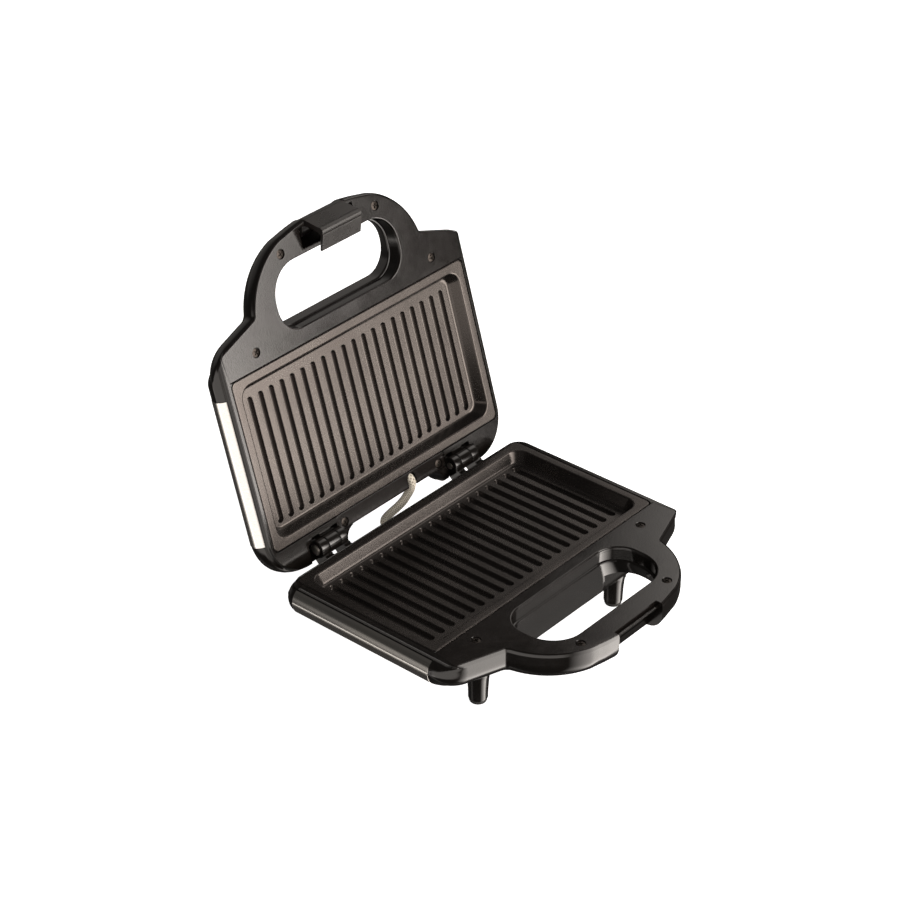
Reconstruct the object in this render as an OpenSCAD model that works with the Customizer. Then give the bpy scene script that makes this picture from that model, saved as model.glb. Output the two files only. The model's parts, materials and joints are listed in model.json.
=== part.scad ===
// Compact two-slice sandwich toaster, shown with its lid open on its stop.
// Two near-mirror halves: each is a plastic shell with a loop handle, a
// steel cover, a front bezel, a die-cast ribbed plate, a tubular heater and a
// reflector tray. They turn on two short hinge pins at the back.
//
// Frame: +X along the hinge, -Y towards the handles, +Z up. The origin is at
// the middle of the bounding box, on the surface that the feet stand on.
// Inside the half modules d = -y is the distance in front of the hinge axis,
// and z = 0 is that half's parting face, with z growing into the half.

/* [Overall] */
// Width across the steel covers
body_w = 242; // [236:1:250]
// Height of the lower parting face above the table
part_h = 61; // [56:1:68]
// Depth of each half, from its parting face to its flat outside
half_t = 38; // [36:1:44]
// Gap between the two parting faces when the lid is shut
gap = 3; // [2:0.5:5]
// Lid opening angle at its stop
open_deg = 106.4; // [95:0.1:110]

/* [Grill plates] */
// Width of each plate
plate_w = 224; // [216:1:226]
// Depth of the recessed field below the rim
field_t = 8.5; // [6:0.5:10]
// Number of grooves in each plate
grooves = 20; // [12:1:22]
// Pitch of the grooves
groove_pitch = 9.84; // [8:0.01:10]
// Width of one groove at the top
groove_w = 5.2; // [3:0.1:6]
// Depth of one groove
groove_t = 3.4; // [2:0.1:4]

/* [Handles] */
// Half width of the handle opening
hole_hw = 58.5; // [50:0.5:61]
// Depth of the handle bar below its face
handle_t = 22; // [20:1:26]
// Half width of the recess for the latch
recess_hw = 22.5; // [21:0.5:26]

/* [Feet] */
// Distance of each foot from the middle
foot_x = 71; // [60:1:80]
// Distance of the rear feet in front of the hinge
foot_rear = 17; // [16:1:30]
// Distance of the front feet in front of the hinge
foot_front = 133; // [110:1:134]
// Radius of a foot at its tip
foot_r = 6; // [4:0.1:7]

/* [Hinge] */
// Radius of a hinge pin
pin_r = 2.5; // [2:0.1:3]
// Running clearance of a pin in its bore, on the radius
pin_gap = 0.05; // [0.02:0.01:0.1]
// Radius of a hinge barrel
barrel_r = 6.6; // [6:0.1:7]

/* [Latch] */
// Half width of the latch clip
latch_hw = 18.5; // [15:0.5:20]

/* [Hidden] */

hw = body_w/2;
axis_z = -gap/2;               // hinge axis in a half's own z
open = open_deg;
// how far the lower handle reaches forward, and the open lid backward, of the
// hinge axis; the axis lies half their difference behind the origin
front_reach = 43.7 + sqrt(pow(166.2, 2) - pow(recess_hw, 2));
back_reach = -(209.9 - 7.4)*cos(open) + (handle_t + gap/2)*sin(open);
hinge_y = (front_reach - back_reach)/2;
pd0 = 12.2; pd1 = 132;         // plate: back and front edges
fd0 = 22; fd1 = 121.5;         // field: back and front edges of its floor
fr_x = plate_w/2 - 10.5;       // half width of the field floor
gd0 = 25.5; gd1 = 114.5;       // grooves: ends
steel_base = [17, 133.5];        // steel covers: back and front edges
steel_lid = [19, 122];
rear_base = 8;                 // lower shell's back wall
rear_lid = -10;                // upper shell's back wall at its lobes
notch_d = 0.8;                 // upper shell's back wall between the hinges
notch_hw = 49;
ear_x = [[55.5, 61.4], [72.6, 79.5]];
knuckle_x = [61.8, 72.2];
screw_pos = [[85.2, 142.8], [45.1, 194.8]];
lamp_d = 127.3;
tray_z = 27;                   // bottom of the reflector trays
side_z = 10; side_r = 12;      // side wall: height of its widest line, and rounding outwards
rim_r = 8;                     // rounding of the side wall towards the parting face
plate_back = 1.2;              // metal under the grooves
side_a = 66;                   // end of the rounding; a straight slope follows
$fn = 48;

// ---------------------------------------------------------------- outlines
function arcp(cx, cy, r, a0, a1, n) =
  [for (k = [0:n]) let (a = a0 + (a1 - a0)*k/n) [cx + r*cos(a), cy + r*sin(a)]];
// unit normal of the slanted shoulder edge and its distance from the axis
sn = [0.3172, 0.9484];
sc = 179.57;
function shoulder_d(x, i) = (sc - i - sn[0]*x)/sn[1];
// Right half of the front outline, from the middle of the handle to the
// shoulder corner; i is the inset, sx the side and rc the corner radius.
function front_right(i, sx, rc) =
  let (q = [82.25, 166.12], tn = 71.51,
       cx = sx - rc, cy = shoulder_d(sx - rc, i) - rc/sn[1])
  concat(arcp(0, 43.7, 165 - i, 90, 76.5, 6),
         arcp(26, 152, 54 - i, 72, 14.09, 10),
         arcp(q[0], q[1], 4 + i, 194.09, 251.51, 4),
         arcp(cx, cy, rc, tn, 0, 5));
function flipx(p) = [for (k = [len(p)-1:-1:0]) [-p[k][0], p[k][1]]];
function neg_y(p) = [for (k = [0:len(p)-1]) [p[k][0], -p[k][1]]];
// closed outline of a shell slice: inset i from the widest outline; rf is the
// share of the inset that the back wall takes
// s is the inset of the sides, rc the radius of the shoulder corners and q
// the extra inset of the back wall
function shell_outline(i, rd, rr, rf, s, rc, q = 0) =
  let (f = front_right(i - 1.2, hw - s, rc),
       b = arcp(hw - s - rr, rd + rf*i + q + rr, rr, 0, -90, 7))
  concat(f, b, flipx(b), flipx(f));
function bezel_outline(i) =
  let (f = front_right(i, hw - 6.2 - i, 3.2), e = [[plate_w/2 + 0.2, pd1 + 0.4 + i]])
  concat(f, e, flipx(e), flipx(f));
function hole_outline(i) =
  let (r1 = 22 - i, r0 = 17 - i, w = hole_hw - i)
  concat(arcp(w - r1, 187 - i - r1, r1, 90, 0, 7), arcp(w - r0, 142 + i + r0, r0, 0, -90, 6),
         arcp(-w + r0, 142 + i + r0, r0, -90, -180, 6), arcp(-w + r1, 187 - i - r1, r1, 180, 90, 7));

// a flat plate between z0 and z1 of an outline given as [x, d] points
module slab(p, z0, z1) { translate([0, 0, z0]) linear_extrude(z1 - z0) polygon(neg_y(p)); }
module blk(x0, x1, d0, d1, z0, z1) { translate([x0, -d1, z0]) cube([x1 - x0, d1 - d0, z1 - z0]); }
module xcyl(x0, x1, d, z, r) { translate([x0, -d, z]) rotate([0, 90, 0]) cylinder(r = r, h = x1 - x0); }
module zcyl(x, d, z0, z1, r) { translate([x, -d, z0]) cylinder(r = r, h = z1 - z0); }
module both() { children(); mirror([1, 0, 0]) children(); }

// ------------------------------------------------------------- placing
module at_base() { translate([0, hinge_y, part_h]) mirror([0, 0, 1]) children(); }
module at_lid() { translate([0, hinge_y, part_h + gap/2]) rotate([-open, 0, 0]) translate([0, 0, gap/2]) children(); }

// ------------------------------------------------------------- shells
// Outer form of a half in steps towards its flat outside: the handle and the
// shoulders are shallow, and the body behind them reaches further out. steps
// holds [distance limit in front, height] for the body's outer layers.
module half_form(rd, rr, rf, steps) {
  // [front inset, z from, z to, side inset, corner radius, extra back inset]
  ins = [[0.8, 0, 2.2, 5.2, 4, 2.6], [0, 2.2, 4.4, 3.2, 9, 1.2], [0, 4.4, 7, 1.2, 14, 0.3], [0, 7, 11, 0, 19, 0],
         [0.8, 11, 14, 0.8, 19, 0], [2.4, 14, 17, 2.4, 18, 0], [4.6, 17, 19, 4.6, 16, 0], [7.4, 19, handle_t, 7.4, 14, 0]];
  for (s = ins) slab(shell_outline(s[0], rd, rr, rf, s[3], s[4], rf < 0.5 ? s[5] : 0), s[1], s[2]);
  for (k = [0:len(steps) - 2])
    let (z0 = steps[k][1], z1 = steps[k+1][1], i = hw - side_x(z1) + 0.6)
    intersection() {
      slab(shell_outline(i, rd, rr, rf, i, max(2, 9 - i)), z0, z1);
      blk(-hw, hw, rd - 1, steps[k][0], z0 - 1, z1 + 1);
    }
}
// half width of the side wall's outer face at height z
function side_x(z) = z <= side_z ? hw
  : z < side_z + side_r*sin(side_a) ? hw - side_r + sqrt(side_r*side_r - (z - side_z)*(z - side_z))
  : slope_x0 - (z - slope_z0)*(slope_x0 - slope_x1)/(half_t - slope_z0);
slope_x0 = hw - side_r + side_r*cos(side_a);
slope_z0 = side_z + side_r*sin(side_a);
slope_x1 = 77;
module half_shell(rd, rr, rf, sd, wall_d, steps) {
  difference() {
    half_form(rd, rr, rf, steps);
    // hand opening, right through
    slab(hole_outline(0), -1, half_t + 1);
    // seat of the plate's rim, and room for its tray
    blk(-plate_w/2 - 0.4, plate_w/2 + 0.4, pd0 - 0.4, pd1 + 0.6, -1, 3.1);
    blk(-fr_x - 6.6, fr_x + 6.6, fd0 - 5, fd1 + 5.1, 3, 13.2);
    // room for the heater and the wiring, narrower towards the outside
    blk(-fr_x - 4, fr_x + 4, wall_d, fd1 + 7, 13, 20.1);
    blk(-94, 94, max(wall_d, rd + 12), fd1 + 3, 20, tray_z + 0.05);
    blk(-80, 80, max(wall_d, rd + 22), fd1 - 5, tray_z - 1, half_t - 3);
    // screws of the plate
    both() for (d = [14.3, 129.2]) { zcyl(60, d, 2, 11, 1.5); zcyl(60, d, 9.9, 14, 3.2); }
    // seat of the bezel
    slab(bezel_outline(-0.15), -1, 3);
    // band that the steel cover sits in
    both() difference() {
      blk(hw - 62, hw + 1, sd[0] - 0.3, sd[1] + 0.3, 1.9, half_t + 1);
      rotate([90, 0, 0]) translate([0, 0, sd[0] - 1]) linear_extrude(sd[1] - sd[0] + 2)
        polygon(steel_in());
    }
    blk(-hw + 30, hw - 30, sd[0] - 0.3, sd[1] + 0.3, half_t - 0.9, half_t + 1);
    // hollow of the handle and of the shoulders, under the bezel
    difference() {
      slab(front_hollow(), 2.9, handle_t - 3.5);
      slab(hole_outline(-3), 0, half_t);
      both() for (p = screw_pos) zcyl(p[0], p[1], 0, half_t, 4.4);
      blk(-recess_hw - 3, recess_hw + 3, 187, 215, 0, half_t);
    }
    // bezel screw holes
    both() for (p = screw_pos) zcyl(p[0], p[1], 2, 14, 1.5);
  }
}
function front_hollow() =
  let (f = front_right(3.2, hw - 8, 5))
  concat(f, [[hw - 8, pd1 + 4]], [[-hw + 8, pd1 + 4]], flipx(f));
// one side of the steel cover's section as [x, z], moved inwards by t
function steel_side(t) = concat(arcp(hw - rim_r, side_z, rim_r - t, -60, -8.57, 6),
  arcp(hw - side_r, side_z, side_r - t, 0, side_a, 9),
  [[slope_x1 - t*tan((90 - side_a)/2), half_t - t]]);
function steel_in() = let (lx = cos(64), lz = side_z - (rim_r + 1)*sin(64))
  concat([[0, lz], [hw - rim_r + (rim_r + 1)*lx, lz], [hw - rim_r + (rim_r - 0.8)*lx, side_z - (rim_r - 0.8)*sin(64)]],
         steel_side(0.8), [[0, half_t - 0.8]]);

module base_shell() { color("#15120f") at_base() difference() {
  union() {
    half_shell(rear_base, 9.5, 0.2, steel_base, rear_base + 3, [[143, handle_t], [143, 27], [142, 33], [138, half_t]]);
    // hinge ears on the back wall
    both() for (e = ear_x) {
      xcyl(e[0], e[1], 0, axis_z, barrel_r);
      difference() {
        blk(e[0], e[1], -1, rear_base + 3, 2.2, 15);
        translate([e[0] - 1, 0.5, 15]) rotate([-40, 0, 0]) cube([12, 20, 20]);
      }
    }
    // bosses for the feet
    both() for (d = [foot_rear, foot_front]) zcyl(foot_x, d, half_t - 8, half_t, 8.2);
  }
  both() xcyl(54, 81, 0, axis_z, pin_r + pin_gap);
  // latch recess: bevelled face with a catch slot under it
  blk(-recess_hw, recess_hw, 202.6, 215, -1, half_t);
  blk(-recess_hw + 3, recess_hw - 3, 197, 204, 9, 14);
  // way in of the mains inlet and of the link lead
  translate([41, -rear_base - 8, 20]) rotate([-90, 0, 0]) cylinder(r = 5.05, h = 12);
  translate([-9, -rear_base - 8, 18]) rotate([-90, 0, 0]) cylinder(r = 4.75, h = 12);
  // screw holes of the feet
  both() for (d = [foot_rear, foot_front]) zcyl(foot_x, d, half_t - 9, half_t + 1, 2);
  // screw holes of the steel cover
  both() for (d = [50, 105]) zcyl(60, d, half_t - 7, half_t + 1, 1.8);
} }

module lid_shell() { color("#15120f") at_lid() difference() {
  union() {
    half_shell(rear_lid, 27, 1, steel_lid, notch_d + 3.2, [[139, handle_t], [136.5, 27], [134, 33], [131.5, half_t]]);
    both() { xcyl(knuckle_x[0], knuckle_x[1], 0, axis_z, barrel_r);
      blk(knuckle_x[0], knuckle_x[1], -3, 9, 2.2, 9); }
  }
  // space between the lobes, where the link lead crosses
  blk(-notch_hw, notch_hw, rear_lid - 2, notch_d, -1, half_t + 1);
  // seat of the rear strip
  blk(-54.3, 54.3, notch_d - 0.1, pd0 + 0.1, -1, 3.1);
  both() {
    // room for the ears of the lower half
    for (e = ear_x) {
      xcyl(e[0] - 0.4, e[1] + 0.4, 0, axis_z, barrel_r + 0.9);
      blk(e[0] - 0.4, e[1] + 0.4, rear_lid - 2, 8.5, -1, 3.2);
    }
    xcyl(54, 81, 0, axis_z, pin_r + pin_gap);
    blk(79.4, 84, -5, 5, -1, 4.4);
    blk(54, 84, rear_lid - 2, -3, -1, 3.6);
    // screws of the rear strip
    zcyl(47.5, 5, 2, 9, 1.5);
  }
  // way in of the link lead
  zcyl(20, 9, 0, 14, 4.2);
  blk(15.8, 24.2, -2, 9, -1, 7.8);
  blk(15.8, 24.2, 9, 20, 5, 14);
  // pocket of the latch, open to the front
  blk(-recess_hw - 3, recess_hw + 3, 191, 205, -1, 15.5);
  blk(-latch_hw - 0.8, latch_hw + 0.8, 200, 215, -1, 17);
  xcyl(-recess_hw - 7, recess_hw + 7, 200, 9, 1.5);
  // lamp windows in the outside face
  for (x = [-9, 9]) zcyl(x, lamp_d, half_t - 17, half_t + 1, 4.05);
} }

// ------------------------------------------------------------- covers
module steel_cover(sd) {
  rotate([90, 0, 0]) translate([0, 0, sd[0]]) linear_extrude(sd[1] - sd[0])
    polygon(let (o = steel_side(0), n = steel_side(0.5))
      concat(o, flipx(o), rev(flipx(n)), rev(n)));
}
function rev(p) = [for (k = [len(p)-1:-1:0]) p[k]];
module base_steel_cover() { color("#b9bab8") at_base() difference() {
  steel_cover(steel_base);
  both() for (d = [foot_rear, foot_front]) zcyl(foot_x, d, half_t - 4, half_t + 1, 8.8);
  both() for (d = [50, 105]) zcyl(60, d, half_t - 4, half_t + 1, 1.8);
} }
module lid_steel_cover() { color("#c9cac8") at_lid() steel_cover(steel_lid); }
module base_cover_screws() { color("#8d8d8d") at_base() both() for (d = [50, 105]) {
  zcyl(60, d, half_t - 6, half_t, 1.6);
  zcyl(60, d, half_t, half_t + 1.4, 3.2);
} }

// ------------------------------------------------------------- bezels
module bezel_blank() {
  difference() {
    slab(bezel_outline(0), 0, 2.8);
    slab(hole_outline(-0.6), -1, 4);
    both() for (p = screw_pos) { zcyl(p[0], p[1], -1, 4, 1.7); zcyl(p[0], p[1], -1, 1.2, 3.3); }
  }
}
module base_bezel() { color("#1b1714") at_base() difference() {
  bezel_blank();
  blk(-recess_hw, recess_hw, 203, 215, -1, 5);
} }
module lid_bezel() { color("#1b1714") at_lid() difference() {
  bezel_blank();
  blk(-recess_hw - 3, recess_hw + 3, 191, 205, -1, 5);
  blk(-latch_hw - 0.8, latch_hw + 0.8, 200, 215, -1, 5);
} }
module bezel_screws() { both() for (p = screw_pos) {
  zcyl(p[0], p[1], 0.3, 1.2, 3.1);
  zcyl(p[0], p[1], 1.2, 11, 1.4);
} }
module base_bezel_screws() { color("#2b2622") at_base() bezel_screws(); }
module lid_bezel_screws() { color("#2b2622") at_lid() bezel_screws(); }

// ------------------------------------------------------------- grill plates
module rrect(hx, d0, d1, r, z0, z1) {
  p = concat(arcp(hx - r, d1 - r, r, 90, 0, 4), arcp(hx - r, d0 + r, r, 0, -90, 4),
             arcp(-hx + r, d0 + r, r, -90, -180, 4), arcp(-hx + r, d1 - r, r, 180, 90, 4));
  slab(p, z0, z1);
}
module grill_plate() {
  difference() {
    union() {
      rrect(plate_w/2, pd0, pd1, 4, 0, 3);
      rrect(fr_x + 5.5, fd0 - 4, fd1 + 4, 5, 2.5, field_t + groove_t + plate_back);
    }
    // field: two steps stand for the sloped wall
    rrect(fr_x + 3.6, fd0 - 2.8, fd1 + 3.6, 6, -1, field_t/2);
    rrect(fr_x + 0.6, fd0 - 0.6, fd1 + 0.8, 6, -1, field_t);
    for (k = [0:grooves-1]) let (x = (k - (grooves - 1)/2)*groove_pitch) {
      blk(x - groove_w/2, x + groove_w/2, gd0 + groove_w/2, gd1 - groove_w/2, field_t - 1, field_t + groove_t);
      for (d = [gd0 + groove_w/2, gd1 - groove_w/2]) zcyl(x, d, field_t - 1, field_t + groove_t, groove_w/2, $fn = 16);
    }
    // blind holes for the plate screws, in the back
    both() for (d = [14.3, 129.2]) zcyl(60, d, 1.4, 4, 1.4);
  }
}
module base_grill_plate() { color("#2a2826") at_base() grill_plate(); }
module lid_grill_plate() { color("#4a4541") at_lid() grill_plate(); }
module plate_screws() { both() for (d = [14.3, 129.2]) { zcyl(60, d, 1.5, 10, 1.3); zcyl(60, d, 10, 12, 2.8); } }
module base_plate_screws() { color("#9a9a9a") at_base() plate_screws(); }
module lid_plate_screws() { color("#9a9a9a") at_lid() plate_screws(); }

// ------------------------------------------------------------- heating
// A tubular element bent into a flat U, with its two cold ends upturned.
he_z = field_t + groove_t + plate_back + 3.3;
module heater_tube() {
  r = 3.2; x = 74; d0 = 44; d1 = 98;
  both() {
    translate([x, 0, he_z]) rotate([90, 0, 0]) translate([0, 0, d0]) cylinder(r = r, h = d1 - d0 - 20);
    translate([x - 20, -(d1 - 20), he_z]) rotate([0, 0, 270]) rotate_extrude(angle = 90) translate([20, 0]) circle(r = r);
    translate([x, -d0, he_z + 0.0]) rotate([-90, 0, 0]) cylinder(r = r, h = 14);
    translate([x, -d0 + 14, he_z]) rotate([-90, 0, 0]) cylinder(r = 1.2, h = 5);
  }
  translate([-(x - 20), -d1, he_z]) rotate([0, 90, 0]) cylinder(r = r, h = 2*(x - 20));
}
module base_heater() { color("#6b6660") at_base() heater_tube(); }
module lid_heater() { color("#6b6660") at_lid() heater_tube(); }
module heater_clips() { for (x = [-40, 0, 40]) difference() {
  blk(x - 4, x + 4, 92, 104, he_z + 0.5, he_z + 4.2);
  translate([x - 5, -98, he_z]) rotate([0, 90, 0]) cylinder(r = 3.25, h = 10);
} }
module base_heater_clips() { color("#a9a9a6") at_base() heater_clips(); }
module lid_heater_clips() { color("#a9a9a6") at_lid() heater_clips(); }
// A thin tray between the heater and the shell's floor.
module reflector() {
  z1 = tray_z;
  difference() {
    blk(-91, 91, 24, 121, z1 - 6.5, z1);
    blk(-90.4, 90.4, 24.6, 120.4, z1 - 8, z1 - 0.6);
  }
}
module base_reflector() { color("#c4c4c2") at_base() reflector(); }
module lid_reflector() { color("#c4c4c2") at_lid() reflector(); }

// ------------------------------------------------------------- electrics
module thermostat() { color("#cfcac0") at_base() {
  zcyl(0, 70, field_t + groove_t + plate_back + 0.1, field_t + groove_t + 9, 8.5);
  blk(-12, 12, 67, 73, field_t + groove_t + 3, field_t + groove_t + 4);
} }
module thermal_fuse() { color("#d8d2c6") at_base() {
  translate([24, -60, he_z + 0.4]) rotate([90, 0, 0]) cylinder(r = 2, h = 13);
  translate([24, -55, he_z + 0.4]) rotate([90, 0, 0]) cylinder(r = 0.6, h = 5);
  translate([24, -73, he_z + 0.4]) rotate([90, 0, 0]) cylinder(r = 0.6, h = 5);
} }
module terminal_block() { color("#e9e5da") at_base() difference() {
  blk(-16, 16, 27, 39, 18.6, tray_z - 0.7);
  for (x = [-10, 0, 10]) zcyl(x, 33, 17, 21.5, 1.6);
} }
// single wires laid straight between their ends, given as [x, d, z]
module wire(p, q) {
  a = [p[0], -p[1], p[2]]; v = [q[0] - p[0], p[1] - q[1], q[2] - p[2]];
  translate(a) rotate([0, acos(v[2]/norm(v)), atan2(v[1], v[0])]) cylinder(r = 1, h = norm(v), $fn = 16);
}
module base_wiring() { color("#a33a2a") at_base() {
  wire([-10, 40.2, 22], [-10.5, 65.4, 16.6]);
  wire([10, 40.2, 22], [22, 53.6, 17.5]);
  wire([17.2, 33, 22], [70.2, 26.5, 17]);
  wire([-17.2, 33, 22], [-70.2, 26.5, 17]);
  wire([-9, 13.2, 18.6], [-8, 26.4, 19.4]);
} }
module lid_wiring() { color("#a33a2a") at_lid() {
  wire([23.4, 10.5, 16], [70.2, 25.5, 17]);
  wire([18.6, 11.5, 16], [-70.2, 25.5, 17]);
} }
// strain relief of the mains lead: a flanged sleeve in the back wall
module cord_inlet() { color("#101010") at_base() translate([41, 0, 20]) difference() {
  union() {
    translate([0, -rear_base + 0.05, 0]) rotate([-90, 0, 0]) cylinder(r = 7, h = 2);
    translate([0, -rear_base - 4, 0]) rotate([-90, 0, 0]) cylinder(r = 5, h = 6);
  }
  translate([0, -rear_base - 5, 0]) rotate([-90, 0, 0]) cylinder(r = 3.5, h = 9);
} }
module lead_grommet_base() { color("#101010") at_base() translate([-9, 0, 18]) difference() {
  union() {
    translate([0, -rear_base + 0.05, 0]) rotate([-90, 0, 0]) cylinder(r = 6.3, h = 1.6);
    translate([0, -rear_base - 2.2, 0]) rotate([-90, 0, 0]) cylinder(r = 4.7, h = 4);
  }
  translate([0, -rear_base - 5, 0]) rotate([-90, 0, 0]) cylinder(r = 3.6, h = 9);
} }

// Braided sleeve with the lid's wires, from the base's back wall to the lid.
lead_r = 3.1;
lead_pts = [[-9, -12, -18], [-9, -6, -18], [-9, -1, -17.6], [-8.4, 2.8, -16.4], [-6, 5.6, -15.2],
  [-2, 7.2, -14.8], [4, 8, -14.2], [10, 8, -13], [15.6, 7.8, -10.8], [19, 7, -7], [20.4, 5.4, -2.5],
  [20.4, 4.3, 2], [20.2, 4.3, 4.6], [20, 5.6, 6.5], [20, 7.6, 7.3], [20, 10.8, 7.5], [20, 14.5, 6.9]];
function vsub(a, b) = [a[0]-b[0], a[1]-b[1], a[2]-b[2]];
function unit(v) = v/norm(v);
function tangent(p, k) = unit(vsub(p[min(k+1, len(p)-1)], p[max(k-1, 0)]));
module sweep(p, r, n) {
  pts = [for (k = [0:len(p)-1]) let (t = tangent(p, k), u = unit(cross(t, [0.2, -0.1, 1])), v = cross(t, u))
         for (j = [0:n-1]) p[k] + r*cos(360*j/n)*u + r*sin(360*j/n)*v];
  m = len(p);
  polyhedron(pts, concat([[for (j = [0:n-1]) j]], [[for (j = [n-1:-1:0]) (m-1)*n + j]],
    [for (k = [0:m-2]) for (j = [0:n-1]) [(k+1)*n + j, (k+1)*n + (j+1)%n, k*n + (j+1)%n, k*n + j]]));
}
module link_lead() { color("#d9d3c4") translate([0, hinge_y, part_h]) sweep(lead_pts, lead_r, 10); }

// ------------------------------------------------------------- feet
module front_feet() { color("#141210") at_base() both() leg(foot_front); }
module rear_feet() { color("#141210") at_base() both() leg(foot_rear); }
module leg(d) {
  translate([foot_x, -d, half_t + 0.02]) cylinder(r1 = 7.6, r2 = foot_r + 0.5, h = part_h - half_t - 3.02);
  translate([foot_x, -d, half_t - 7]) cylinder(r = 1.9, h = 8);
}
module foot_pads() { color("#0c0c0c") at_base() both() for (d = [foot_rear, foot_front]) zcyl(foot_x, d, part_h - 3, part_h, foot_r); }

// ------------------------------------------------------------- hinge
module hinge_pins() { color("#a8a29a") at_base() both() {
  xcyl(55, 79.6, 0, axis_z, pin_r);
  xcyl(79.6, 81, 0, axis_z, 3.9);
} }
module lid_rear_strip() { color("#1a1714") at_lid() difference() {
  blk(-54, 54, notch_d, pd0 - 0.2, 0.4, 3);
  both() { zcyl(47.5, 5, -1, 4, 1.7); zcyl(47.5, 5, -1, 1.4, 3.3); }
  blk(15.8, 24.2, -2, 10.6, -1, 5);
} }
module lid_rear_screws() { color("#2b2622") at_lid() both() {
  zcyl(47.5, 5, 0.5, 1.4, 3.1);
  zcyl(47.5, 5, 1.4, 8, 1.4);
} }

// ------------------------------------------------------------- lamps
module lamp_lenses() { color("#b0281c") at_lid() for (x = [-9, 9]) {
  zcyl(x, lamp_d, half_t - 6, half_t + 0.4, 4);
} }
module lamp_holders() { color("#e4e0d6") at_lid() for (x = [-9, 9]) difference() {
  zcyl(x, lamp_d, half_t - 14, half_t - 6, 3.6);
  zcyl(x, lamp_d, half_t - 12, half_t - 5, 2.4);
} }

// ------------------------------------------------------------- latch
// Clip on the lid's handle, folded inwards as it hangs with the lid open.
latch_prof = [[204.2, 12.6], [207.2, 9.5], [208.6, 5], [208.4, 1], [203, -12], [201, -14.4], [198.2, -14.6],
  [186.6, -9.6], [187.2, -7.8], [197.6, -11.6], [199.6, -10.6], [203.6, 0.4], [203.6, 4], [200, 4.6], [195.8, 7.6], [195.8, 10.6], [198.6, 13.2]];
module latch() { color("#1d1916") at_lid() difference() {
  translate([latch_hw, 0, 0]) rotate([90, 0, -90]) linear_extrude(2*latch_hw) polygon(latch_prof);
  xcyl(-latch_hw - 1, latch_hw + 1, 200, 9, 1.5 + pin_gap);
} }
module latch_pin() { color("#a8a29a") at_lid() xcyl(-recess_hw - 6.9, recess_hw + 6.9, 200, 9, 1.5); }

base_shell();
base_steel_cover();
base_bezel();
base_grill_plate();
base_heater();
base_reflector();
base_heater_clips();
base_plate_screws();
base_bezel_screws();
base_cover_screws();
front_feet();
rear_feet();
foot_pads();
hinge_pins();
thermostat();
thermal_fuse();
terminal_block();
base_wiring();
cord_inlet();
lead_grommet_base();
link_lead();
lid_shell();
lid_steel_cover();
lid_bezel();
lid_grill_plate();
lid_heater();
lid_reflector();
lid_heater_clips();
lid_plate_screws();
lid_bezel_screws();
lid_rear_strip();
lid_rear_screws();
lid_wiring();
lamp_lenses();
lamp_holders();
latch();
latch_pin();
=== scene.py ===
import bpy, bmesh, json, math
import numpy as np
from mathutils import Vector, Matrix


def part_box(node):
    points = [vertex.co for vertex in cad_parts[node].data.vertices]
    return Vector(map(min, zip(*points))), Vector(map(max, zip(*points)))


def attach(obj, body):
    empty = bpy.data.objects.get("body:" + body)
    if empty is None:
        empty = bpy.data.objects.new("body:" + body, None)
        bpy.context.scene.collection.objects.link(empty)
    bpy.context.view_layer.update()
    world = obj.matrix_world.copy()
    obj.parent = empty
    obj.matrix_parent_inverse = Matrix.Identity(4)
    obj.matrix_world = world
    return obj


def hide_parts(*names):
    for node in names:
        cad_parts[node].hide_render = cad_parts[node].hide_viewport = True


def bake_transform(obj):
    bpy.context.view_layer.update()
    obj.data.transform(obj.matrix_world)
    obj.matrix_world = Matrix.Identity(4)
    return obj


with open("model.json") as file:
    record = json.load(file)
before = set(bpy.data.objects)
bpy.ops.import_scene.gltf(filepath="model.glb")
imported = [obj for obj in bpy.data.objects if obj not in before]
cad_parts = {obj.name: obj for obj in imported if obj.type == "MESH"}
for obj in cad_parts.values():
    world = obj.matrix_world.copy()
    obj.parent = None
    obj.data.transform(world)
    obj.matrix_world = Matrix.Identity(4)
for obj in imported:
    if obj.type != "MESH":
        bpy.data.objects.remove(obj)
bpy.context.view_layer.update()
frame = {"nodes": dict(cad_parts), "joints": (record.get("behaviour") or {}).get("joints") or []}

NODES = frame["nodes"]
HINGE = [j for j in frame["joints"] if j["name"] == "lid_hinge"][0]["pos_m"]
HY = HINGE[1]*1000.0
PH = 61.0
TH = math.radians(106.4)
SN, CS = math.sin(TH), math.cos(TH)
SCN = bpy.context.scene

# =====================================================================
# Working frame of each half, in millimetres: x, d = distance in front of
# the hinge axis, z = 0 at the half's parting face and growing outwards.
# =====================================================================
def to_base(v):
    v = np.asarray(v, float)
    return np.stack([v[:, 0], HY - v[:, 1], PH - v[:, 2]], 1)/1000.0

def to_lid(v):
    v = np.asarray(v, float)
    w = v[:, 2] + 1.5
    return np.stack([v[:, 0], HY - CS*v[:, 1] + SN*w, PH + 1.5 + SN*v[:, 1] + CS*w], 1)/1000.0

PLACE = {"base": to_base, "lid": to_lid, "latch": to_lid, "world": lambda v: np.asarray(v, float)/1000.0}

# --------------------------------------------------------------- meshes
class M:
    """Vertices in mm and faces as index lists."""
    def __init__(self, v=None, f=None):
        self.v = np.zeros((0, 3)) if v is None else np.asarray(v, float).reshape(-1, 3)
        self.f = [] if f is None else [list(q) for q in f]
    def add(self, o):
        n = len(self.v)
        self.v = np.vstack([self.v, o.v])
        self.f += [[i + n for i in q] for q in o.f]
        return self
    def moved(self, dx=0, dd=0, dz=0):
        return M(self.v + np.array([dx, dd, dz], float), self.f)
    def flipx(self):
        return M(self.v*np.array([-1, 1, 1]), [q[::-1] for q in self.f])
    def both(self):
        return M(self.v, self.f).add(self.flipx())

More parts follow.
